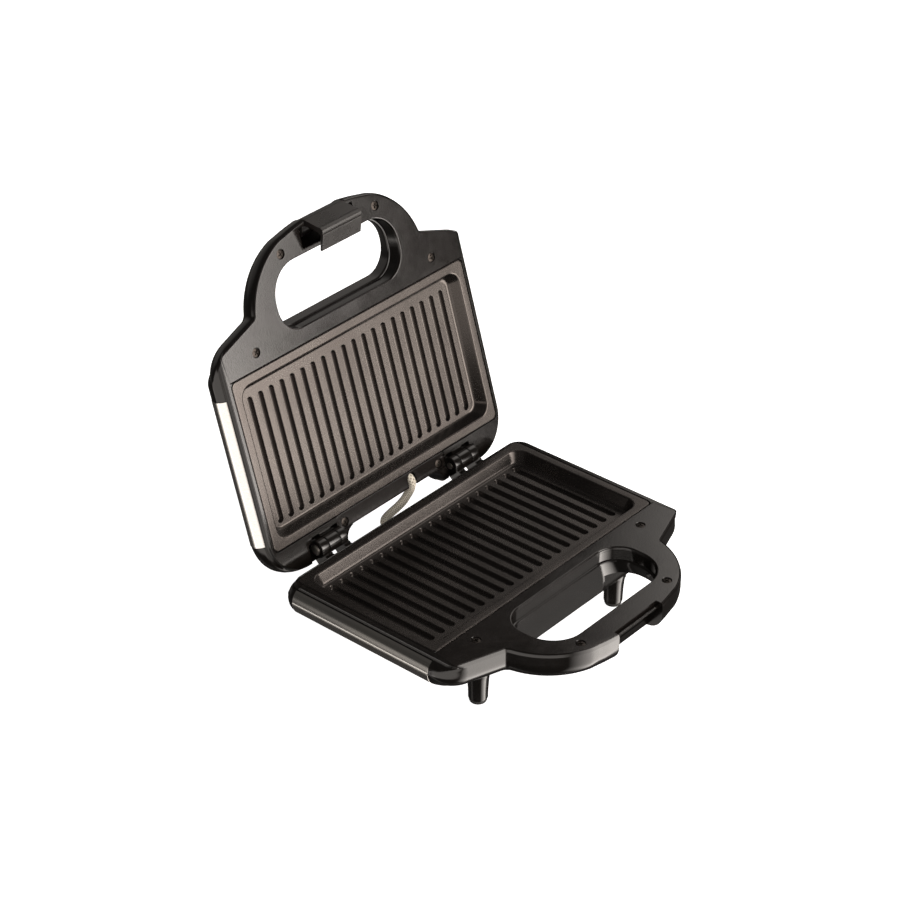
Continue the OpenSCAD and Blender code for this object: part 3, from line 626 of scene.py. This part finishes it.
set_half("base")
base_shell = make_base_shell()
piece("lower_shell", base_shell, "base", MAT["shell"], ["base_shell"])
set_half("lid")
lid_shell = make_lid_shell()
piece("upper_shell", lid_shell, "lid", MAT["shell"], ["lid_shell"])

# =====================================================================
# Steel covers
# =====================================================================
def steel_cover(sd, holes=None):
    def sec(t0, t1):
        o = steel_side(t0)
        n = steel_side(t1)
        return o + [(-q[0], q[1]) for q in o[::-1]] + [(-q[0], q[1]) for q in n] + n[::-1]
    rings = [at_d(sec(0.18, 0.42), sd[0]), at_d(sec(0.05, 0.48), sd[0] + 0.08), at_d(sec(0.0, 0.5), sd[0] + 0.25),
             at_d(sec(0.0, 0.5), sd[1] - 0.25), at_d(sec(0.05, 0.48), sd[1] - 0.08), at_d(sec(0.18, 0.42), sd[1])]
    return loft(rings)

set_half("base")
sb = steel_cover((17.0, 133.5))
for d in (17.0, 133.0):
    sb = cut(sb, lathe_z([(8.8, 30), (8.8, 40)], 40, 71, d).both())
for d in (50, 105):
    sb = cut(sb, lathe_z([(1.8, 30), (1.8, 40)], 24, 60, d).both())
piece("lower_steel_cover", sb, "base", MAT["steel_base"], ["base_steel_cover"])
set_half("lid")
piece("upper_steel_cover", steel_cover((19.0, 122.0)), "lid", MAT["steel_lid"], ["lid_steel_cover"])

# =====================================================================
# Bezels
# =====================================================================
def bezel_form():
    prof = [(0.0, 0.62), (0.08, 0.36), (0.28, 0.13), (0.62, 0.0), (2.8, 0.0)]
    b = loft([at_z(bezel_outline(i), z) for z, i in prof])
    hp = [(-0.4, -2.0), (0.0, -1.55), (0.12, -1.15), (0.4, -0.86), (0.85, -0.66), (1.4, -0.6), (3.2, -0.6)]
    b = cut(b, loft([at_z(hole_outline(i), z) for z, i in hp]))
    for p in ((85.2, 142.8), (45.1, 194.8)):
        w = lathe_z([(3.75, -0.3), (3.5, 0.02), (3.32, 0.25), (3.3, 1.2), (1.7, 1.2001), (1.7, 3.2)], 36, p[0], p[1])
        b = cut(b, w, w.flipx())
    return b

set_half("base")
bb = cut(bezel_form(), box(-22.5, 22.5, 202.9, 215, -1, 5))
piece("lower_bezel", bb, "base", MAT["bezel"], ["base_bezel"])
set_half("lid")
lb = cut(bezel_form(), box(-25.5, 25.5, 191, 205, -1, 5), box(-19.3, 19.3, 200, 215, -1, 5))
piece("upper_bezel", lb, "lid", MAT["bezel"], ["lid_bezel"])

# =====================================================================
# Grill plates
# =====================================================================
GP, GW, GN = 9.84, 4.8, 20
def stadium(x, hw, d0, d1, n=7):
    return arcp(x, d1 - hw, hw, 180, 0, 2*n) + arcp(x, d0 + hw, hw, 0, -180, 2*n)

def grill_plate():
    rim = [(3.0, 0.0), (0.9, 0.0), (0.45, 0.12), (0.14, 0.42), (0.0, 0.9)]
    p = loft([at_z(rrect(112 - e, 12.2 + e, 132 - e, 4 - e*0.5, 8), z) for z, e in rim[::-1]])
    bowl = loft([at_z(rrect(107.0, 18.0, 125.5, 5, 8), z) for z in (2.5, 13.1)])
    p = join(p, bowl)
    fp = [(-0.8, 5.6), (-0.02, 4.7), (0.16, 4.15), (0.5, 3.75), (1.0, 3.5), (6.6, 0.9), (7.5, 0.42), (8.1, -0.15), (8.42, -0.9), (8.5, -1.7)]
    p = cut(p, loft([at_z(rrect(101.9 + e, 21.9 - e*0.86, 121.9 + e*1.0, 7 + e*0.5, 8), z) for z, e in fp]))
    gp = [(7.4, 1.0), (8.47, 0.36), (8.6, 0.18), (8.85, 0.0), (9.3, -0.12), (10.8, -0.5), (11.4, -0.9), (11.75, -1.4), (11.88, -2.0)]
    g = M()
    for k in range(GN):
        x = (k - (GN - 1)/2)*GP
        g.add(loft([at_z(stadium(x, GW/2 + e, 25.3 - e, 114.7 + e), z) for z, e in gp]))
    return cut(p, g)

gp = grill_plate()
piece("lower_grill_plate", gp, "base", MAT["plate_base"], ["base_grill_plate"], sharp=38)
piece("upper_grill_plate", gp, "lid", MAT["plate_lid"], ["lid_grill_plate"], sharp=38)

# =====================================================================
# Screws
# =====================================================================
def cross_screw(r, z0, z1, depth=0.8, shank=1.4, zs=None, n=36):
    """Head face at z0 (towards the user), back of the head at z1."""
    h = lathe_z([(0.2, z0 - 0.0), (r*0.55, z0 + 0.04), (r*0.85, z0 + 0.14), (r*0.97, z0 + 0.28), (r, z0 + 0.45), (r, z1), (shank, z1 + 0.001)]
                + ([(shank, zs - 0.5), (shank - 0.4, zs)] if zs else [(shank, z1 + 0.5)]), n)
    a, t = r*0.62, r*0.15
    plus = [(a, t), (t, t), (t, a), (-t, a), (-t, t), (-a, t), (-a, -t), (-t, -t), (-t, -a), (t, -a), (t, -t), (a, -t)]
    c = loft([at_z([(x*1.06, y*1.06) for x, y in plus], z0 - 0.3), at_z(plus, z0 + 0.15), at_z([(x*0.45, y*0.7) for x, y in plus], z0 + depth)])
    return cut(h, c)

def turned(m, a):
    c, s = math.cos(a), math.sin(a)
    v = m.v.copy()
    v[:, 0], v[:, 1] = c*m.v[:, 0] - s*m.v[:, 1], s*m.v[:, 0] + c*m.v[:, 1]
    return M(v, m.f)

bz = cross_screw(3.1, 0.42, 1.2, zs=11)
def bezel_screws(angles):
    g = M(); k = 0
    for p in ((85.2, 142.8), (45.1, 194.8)):
        for s in (-1, 1):
            g.add(turned(bz, angles[k]).moved(s*p[0], p[1])); k += 1
    return g
piece("lower_bezel_screws", bezel_screws([0.3, 1.0, 0.6, 0.1]), "base", MAT["screw"], ["base_bezel_screws"])
piece("upper_bezel_screws", bezel_screws([0.8, 0.2, 0.4, 1.2]), "lid", MAT["screw"], ["lid_bezel_screws"])
rs = cross_screw(3.1, 0.5, 1.4, zs=8)
g = M().add(turned(rs, 0.5).moved(-47.5, 5)).add(turned(rs, 1.1).moved(47.5, 5))
piece("rear_strip_screws", g, "lid", MAT["screw"], ["lid_rear_screws"])
# screws of the lower steel cover, with their heads on the outside
cs = cross_screw(3.2, 0.0, 1.4, shank=1.55, zs=7.4)
v = cs.v.copy(); v[:, 2] = 39.4 - v[:, 2]
cs = M(v, [q[::-1] for q in cs.f])
g = M()
for k, (x, d) in enumerate(((60, 50), (-60, 50), (60, 105), (-60, 105))):
    g.add(turned(cs, 0.4*k).moved(x, d))
piece("cover_screws", g, "base", MAT["plated"], ["base_cover_screws"])

# =====================================================================
# Rear strip of the lid
# =====================================================================
st = loft([at_z(rrect(54 - e, 0.8 + e, 12.0 - e, 1.6 - e*0.5, 4), z) for z, e in ((0.4, 0.5), (0.5, 0.25), (0.8, 0.0), (3.0, 0.0))])
w = lathe_z([(3.6, 0.0), (3.3, 0.7), (3.3, 1.4), (1.7, 1.401), (1.7, 4)], 32, 47.5, 5)
st = cut(st, w, w.flipx())
st = cut(st, prism(arcp(20, 6.4, 4.2, 90, 0, 8) + [(24.2, -2), (15.8, -2)] + arcp(20, 6.4, 4.2, 180, 90, 8)[:-1], -1, 5))
piece("rear_strip", st, "lid", MAT["bezel"], ["lid_rear_strip"])

# =====================================================================
# Feet and pads
# =====================================================================
LO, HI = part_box("front_feet"); PLO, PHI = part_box("foot_pads")
leg_r1 = (HI.x*1000 - 71.0); pad_r = (PHI.x*1000 - 71.0)
def leg(d):
    r1, r2 = leg_r1, pad_r + 0.5
    prof = [(1.9, 31), (1.9, 38.02), (r1 - 0.2, 38.03), (r1, 38.5)]
    for k in range(1, 9):
        t = k/8.0
        prof.append((r1 - (r1 - r2)*(1 - (1 - t)**1.8)*1.0, 38.5 + 18.7*t))
    prof += [(r2 - 0.15, 57.7), (r2 - 0.45, 58.0)]
    m = lathe_z(prof, 56, 71, d)
    return m
def pad(d):
    r = pad_r
    return lathe_z([(r - 0.6, 57.9), (r, 58.1), (r, 58.8), (r - 0.12, 59.7), (r - 0.5, 60.5), (r - 1.1, 60.9), (r - 1.9, 61.0)], 56, 71, d)
piece("front_legs", leg(133.0).both(), "base", MAT["foot"], ["front_feet"])
piece("rear_legs", leg(17.0).both(), "base", MAT["foot"], ["rear_feet"])
piece("pads", pad(17.0).both().add(pad(133.0).both()), "base", MAT["rubber"], ["foot_pads"])

# =====================================================================
# Hinge pins, latch clip and its pin
# =====================================================================
pin = lathe_x([(2.3, 55), (2.5, 55.3), (2.5, 79.6), (3.7, 79.601), (3.9, 79.75), (3.9, 80.2), (3.5, 80.7), (2.4, 80.95), (0.6, 81.0)], 40, 0, AX)
piece("hinge_pins_turned", pin.both(), "base", MAT["pin"], ["hinge_pins"])

LP = [(204.2, 12.6), (207.2, 9.5), (208.6, 5), (208.4, 1), (203.3, -11.4), (203.1, -13.0), (201.6, -14.5), (199.9, -14.6), (199.2, -13.6),
      (198.2, -14.3), (187.0, -9.7), (187.2, -7.8), (197.6, -11.6), (199.6, -10.6), (203.6, 0.4), (203.6, 4), (200, 4.6), (195.8, 7.6), (195.8, 10.6), (198.6, 13.2)]
LR = [2.0, 2.5, 3.0, 3.0, 0.4, 0.5, 0.5, 0.3, 0.3, 0.8, 0.8, 0.4, 1.5, 1.5, 2.0, 1.5, 1.5, 1.0, 1.5, 1.5]
lp = fillet(LP, LR, 4)
lat = loft([at_x(lp, -18.5), at_x(lp, 18.5)])
lat = bevelled(lat, 0.35, 60, 2, lambda e: abs(abs(e.verts[0].co.x) - 18.5) < 0.01 and abs(abs(e.verts[1].co.x) - 18.5) < 0.01 and abs(e.verts[0].co.x - e.verts[1].co.x) < 0.01)
lat = cut(lat, lathe_x([(1.55, -20), (1.55, 20)], 32, 200, 9))
piece("latch_clip", lat, "latch", MAT["latch"], ["latch"], sharp=30)
piece("latch_rod", lathe_x([(1.2, -29.4), (1.5, -29.1), (1.5, 29.1), (1.2, 29.4)], 28, 200, 9), "lid", MAT["pin"], ["latch_pin"])

# =====================================================================
# Cord inlet, lead grommet, lamp lenses
# =====================================================================
inl = loft([at_d(circle(r, 48, 41, 20), d) for r, d in ((5.0, 12.0), (5.0, 7.95), (7.0, 7.94), (7.0, 6.9), (6.8, 6.35), (6.3, 6.05), (4.6, 5.96))])
inl = cut(inl, lathe_y([(3.5, 3), (3.5, 14)], 40, 41, 20), lathe_y([(4.4, 5.0), (3.5, 6.9), (3.4, 7.5)], 40, 41, 20))
piece("inlet_sleeve", inl, "base", MAT["rubber"], ["cord_inlet"])
gr = loft([at_d(circle(r, 40, -9, 18), d) for r, d in ((4.7, 10.2), (4.7, 7.95), (6.3, 7.94), (6.3, 7.2), (6.0, 6.7), (5.1, 6.4))])
gr = cut(gr, lathe_y([(3.6, 3), (3.6, 14)], 32, -9, 18))
piece("lead_sleeve", gr, "base", MAT["rubber"], ["lead_grommet_base"])
lens = M()
for x in (-9, 9):
    lens.add(lathe_z([(3.4, 32), (4.0, 32.3), (4.0, 37.7), (3.7, 38.0), (2.9, 38.22), (1.7, 38.36), (0.3, 38.4)], 40, x, 127.3))
piece("lamp_windows", lens, "lid", MAT["lens"], ["lamp_lenses"])

# =====================================================================
# Braided lead between the halves
# =====================================================================
LEAD = [(-9, -12, -18), (-9, -6, -18), (-9, -1, -17.6), (-8.4, 2.8, -16.4), (-6, 5.6, -15.2),
        (-2, 7.2, -14.8), (4, 8, -14.2), (10, 8, -13), (15.6, 7.8, -10.8), (19, 7, -7), (20.4, 5.4, -2.5),
        (20.4, 4.3, 2), (20.2, 4.3, 4.6), (20, 5.6, 6.5), (20, 7.6, 7.3), (20, 10.8, 7.5), (20, 14.5, 6.9)]
def spline(pts, step):
    P = [Vector(p) for p in pts]
    out = []
    for k in range(len(P) - 1):
        p0, p1, p2, p3 = P[max(k - 1, 0)], P[k], P[k + 1], P[min(k + 2, len(P) - 1)]
        n = max(1, int(round((p2 - p1).length/step)))
        for j in range(n):
            t = j/n
            out.append(0.5*((2*p1) + (p2 - p0)*t + (2*p0 - 5*p1 + 4*p2 - p3)*t*t + (3*p1 - p0 - 3*p2 + p3)*t**3))
    out.append(P[-1])
    return out

def sweep(path, r, n=20):
    rings = []; u = None; s = 0.0; ls = [0.0]
    for k in range(1, len(path)):
        s += (path[k] - path[k - 1]).length; ls.append(s)
    for k, p in enumerate(path):
        t = (path[min(k + 1, len(path) - 1)] - path[max(k - 1, 0)]).normalized()
        if u is None: u = t.cross(Vector((0.2, -0.1, 1))).normalized()
        u = (u - t*u.dot(t)).normalized()
        v = t.cross(u)
        ring = []
        for j in range(n):
            a = 2*math.pi*j/n
            # strands stand slightly proud of the round sleeve
            q = 0.5*math.cos(6*a + ls[k]*3.4) + 0.5*math.cos(6*a - ls[k]*3.4)
            ring.append(p + (u*math.cos(a) + v*math.sin(a))*(r - 0.09 + 0.09*q))
        rings.append(ring)
    return rings, ls

path = spline(LEAD, 0.6)
rings, ls = sweep(path, 3.1, 24)
mv = [(q.x, HY + q.y, PH + q.z) for r in rings for q in r]
lead = loft([[ (q.x, HY + q.y, PH + q.z) for q in r] for r in rings])
me = bpy.data.meshes.new("link_lead_braid")
me.from_pydata([tuple(c/1000.0 for c in p) for p in lead.v], [], lead.f)
bm = bmesh.new(); bm.from_mesh(me); bmesh.ops.recalc_face_normals(bm, faces=bm.faces)
uvl = bm.loops.layers.uv.new("UVMap")
N = 24
for f in bm.faces:
    idx = [l.vert.index for l in f.loops]
    if len(idx) > 4: continue
    js = [i % N for i in idx]
    wrap = max(js) - min(js) > N/2
    for l, i in zip(f.loops, idx):
        j = i % N
        if wrap and j < N/2: j += N
        l[uvl].uv = (j/N, ls[i//N])
bm.to_mesh(me); bm.free()
me.shade_smooth(); me.materials.append(MAT["braid"])
lo = bpy.data.objects.new("link_lead_braid", me); SCN.collection.objects.link(lo)
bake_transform(lo)
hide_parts("link_lead")

# =====================================================================
# CAD nodes that stay as they are
# =====================================================================
KEEP = {"base_heater": "sheath", "lid_heater": "sheath", "base_reflector": "tray", "lid_reflector": "tray",
        "base_heater_clips": "tray", "lid_heater_clips": "tray", "base_plate_screws": "plated", "lid_plate_screws": "plated",
        "thermostat": "ceramic", "thermal_fuse": "ceramic", "terminal_block": "pale", "base_wiring": "wire", "lid_wiring": "wire",
        "lamp_holders": "pale"}
for n, mk in KEEP.items():
    o = NODES[n]
    o.data.materials.clear(); o.data.materials.append(MAT[mk])
    for s in o.material_slots:
        s.material = MAT[mk]

# =====================================================================
# Floor, light and camera
# =====================================================================
def floor_material():
    m, nt, b = new_mat("pale floor")
    v = coords(nt)
    big = noise(nt, v, 2.0, 3.0)
    nt.links.new(ramp(nt, big, [(0.3, (0.93, 0.93, 0.93)), (0.7, (0.95, 0.95, 0.95))]), b.inputs["Base Color"])
    b.inputs["Roughness"].default_value = 0.9
    b.inputs["Specular IOR Level"].default_value = 0.1
    b.inputs["Emission Color"].default_value = (1, 1, 1, 1)
    b.inputs["Emission Strength"].default_value = 0.95
    bump(nt, b, noise(nt, v, 60.0, 3.0), 1e-5)
    return m
bm = bmesh.new()
bmesh.ops.create_grid(bm, x_segments=8, y_segments=8, size=6.0)
me = bpy.data.meshes.new("floor"); bm.to_mesh(me); bm.free()
floor = bpy.data.objects.new("floor", me); SCN.collection.objects.link(floor)
me.materials.append(floor_material())
floor.visible_glossy = False
floor.visible_diffuse = False

# A dim room with one tall soft panel at the front right, its reflection in
# the table, a weaker panel at the far right and a pale card at the left.
w = bpy.data.worlds.new("studio"); SCN.world = w; w.use_nodes = True
nt = w.node_tree
bg = nt.nodes["Background"]
tc = nt.nodes.new("ShaderNodeTexCoord")
sx = nt.nodes.new("ShaderNodeSeparateXYZ")
nt.links.new(tc.outputs["Generated"], sx.inputs[0])
def mul(*a):
    o = a[0]
    for b in a[1:]: o = math2(nt, "MULTIPLY", o, b)
    return o
def add(a, b): return math2(nt, "ADD", a, b)
def sub(a, b): return math2(nt, "SUBTRACT", a, b)
def step(v, lo, hi):
    """Smooth step from 0 at lo to 1 at hi."""
    r = nt.nodes.new("ShaderNodeMapRange"); r.interpolation_type = "SMOOTHSTEP"
    r.inputs["From Min"].default_value = lo; r.inputs["From Max"].default_value = hi
    nt.links.new(v, r.inputs["Value"])
    return r.outputs[0]
def inv(v): return sub(1.0, v)
az = mul(math2(nt, "ARCTAN2", sx.outputs[1], sx.outputs[0]), 57.29578)
el = mul(math2(nt, "ARCSINE", sx.outputs[2], 0.0), 57.29578)
s1 = step(el, -30.0, -12.0)
edge = sub(-48.5, mul(s1, 3.9))
wid = add(4.0, mul(s1, 0.3))
t = step(math2(nt, "DIVIDE", sub(edge, az), wid), -1.0, 1.0)
L = math2(nt, "MAXIMUM", math2(nt, "MINIMUM", mul(add(az, 110.0), 1.0/54.0), 1.0), 0.0)
notch = mul(step(el, -6.6, -5.9), inv(step(el, -4.8, -3.6)), step(az, -53.6, -52.2))
key = mul(t, L, add(8.0, mul(s1, 3.0)), inv(mul(step(el, 22.0, 42.0), 0.97)), step(el, -75.0, -50.0), inv(mul(notch, 0.93)))
table = mul(inv(step(el, -26.0, -14.0)), step(az, -52.0, -45.0), inv(step(az, -34.0, -22.0)), 0.42)
rim = mul(inv(step(az, 33.8, 37.6)), step(az, -25.0, -5.0), step(el, 12.0, 26.0), inv(step(el, 48.0, 65.0)), 1.6)
turn = math2(nt, "MODULO", add(az, 360.0), 360.0)
wall = mul(step(turn, 149.0, 160.0), inv(step(turn, 234.0, 258.0)), step(el, -36.0, -28.0), inv(step(el, 0.0, 9.0)), 1.7)
fall = math2(nt, "MINIMUM", mul(math2(nt, "EXPONENT", mul(add(el, 31.0), 0.45), 0.0), 1.7), 1.7)
above = sub(el, add(mul(sub(az, 134.0), 0.3), -34.0))
card = mul(fall, step(az, 120.0, 128.0), inv(step(az, 160.0, 166.0)), inv(step(above, 1.5, 5.0)))
low = mul(step(az, 134.6, 139.2), inv(step(az, 150.0, 156.0)), inv(step(el, -33.0, -22.0)), 0.4)
mid = mul(step(az, 143.0, 148.4), inv(step(az, 156.0, 162.0)), step(el, -28.0, -16.0), inv(step(el, 2.0, 18.0)), 0.42)
glow = mul(step(el, -12.0, -2.0), inv(step(el, 12.0, 30.0)), step(az, -47.0, -40.0), inv(step(az, 100.0, 120.0)), 0.2)
room = add(0.062, mul(step(el, 30.0, 70.0), 0.03))
total = add(add(add(key, table), add(rim, wall)), add(add(card, low), add(add(mid, glow), room)))
nt.links.new(total, bg.inputs["Strength"])
bg.inputs["Color"].default_value = (1.0, 0.937, 0.878, 1)

def area(name, loc, target, size, power):
    l = bpy.data.lights.new(name, "AREA")
    l.energy = power; l.size = size
    o = bpy.data.objects.new(name, l); SCN.collection.objects.link(o)
    o.location = loc
    o.rotation_euler = (Vector(target) - Vector(loc)).to_track_quat("-Z", "Y").to_euler()
    o.visible_glossy = False
    return o
area("soft_fill", (-1.3, -1.5, 1.9), (0, 0, 0.08), 1.8, 26)

cam = bpy.data.cameras.new("camera")
cam.lens = 104.78; cam.sensor_width = 36.0; cam.sensor_fit = "HORIZONTAL"
cam.clip_start = 0.05; cam.clip_end = 50
co = bpy.data.objects.new("camera", cam); SCN.collection.objects.link(co)
Fv = Vector((0.64065, 0.55157, -0.53417)).normalized()
Rv = Fv.cross(Vector((0, 0, 1))).normalized(); Uv = Rv.cross(Fv)
mat = Matrix((Rv, Uv, -Fv)).transposed().to_4x4()
mat.translation = Vector((-1.10081, HY/1000 - 0.99572, 1.03977))
co.matrix_world = mat
SCN.camera = co
SCN.view_settings.view_transform = "Standard"
SCN.view_settings.look = "None"
